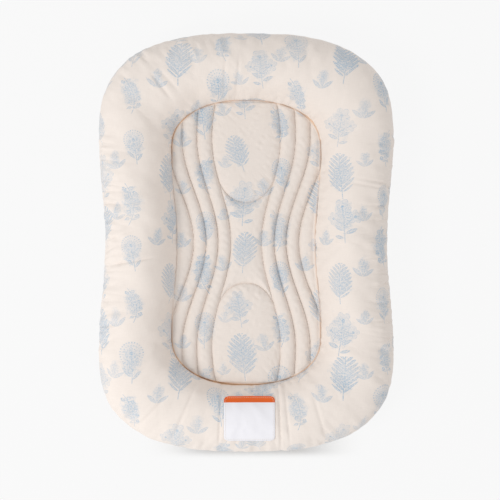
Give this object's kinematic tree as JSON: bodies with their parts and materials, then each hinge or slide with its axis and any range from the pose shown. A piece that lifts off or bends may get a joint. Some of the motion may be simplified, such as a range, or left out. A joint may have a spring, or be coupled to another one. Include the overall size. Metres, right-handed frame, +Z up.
{
  "type": "infant lounger",
  "caption": "Waisted, round-cornered infant lounger: a stuffed bolster ring around a quilted pad, in a cloth cover with a zip along the middle of its underside.",
  "frame": {"origin": "on the floor, below the middle of the lounger", "axes": "+Z up, +Y towards the head end, +X to the right when seen from above with the head end at the top; the patch is on the foot end, at -Y"},
  "size_m": [0.536, 0.76, 0.1014],
  "materials": {
    "printed_cloth": "soft cotton, cream with a pale blue botanical print",
    "quilted_cloth": "soft cotton, quilted, cream with a pale blue botanical print",
    "plain_cloth": "plain cream cotton",
    "elastic": "woven elastic",
    "filling": "white polyester fibre",
    "foam": "firm foam",
    "patch_satin": "white satin with a plain orange band",
    "zip_tape": "woven tape",
    "zip_plastic": "moulded plastic",
    "zip_metal": "cream painted metal"
  },
  "bodies": {
    "lounger": {"bolster_cover": "printed_cloth", "bolster_fill": "filling", "side_elastic_left": "elastic", "side_elastic_right": "elastic", "quilt_face": "quilted_cloth", "quilt_wadding": "filling", "quilt_backing": "plain_cloth", "core_pad": "foam", "base_panel_left": "plain_cloth", "base_panel_right": "plain_cloth", "label_patch": "patch_satin", "zip_tape_left": "zip_tape", "zip_tape_right": "zip_tape", "zip_teeth_left": "zip_plastic", "zip_teeth_right": "zip_plastic", "zip_top_stop_left": "zip_plastic", "zip_top_stop_right": "zip_plastic", "zip_bottom_stop": "zip_plastic"},
    "zip_slider_body": {"zip_slider": "zip_metal"},
    "zip_pull_body": {"zip_pull": "zip_metal"}
  },
  "joints": [
    {"name": "zip_slide", "type": "slide", "parent": "lounger", "child": "zip_slider_body", "axis": [0, -1, 0], "range_m": [0, 0.43], "deforming": ["zip_teeth_left", "zip_teeth_right"]},
    {"name": "pull_swing", "type": "hinge", "parent": "zip_slider_body", "child": "zip_pull_body", "pos_m": [0, 0.22, 0.0052], "axis": [1, 0, 0], "range_deg": [0, 175]}
  ]
}
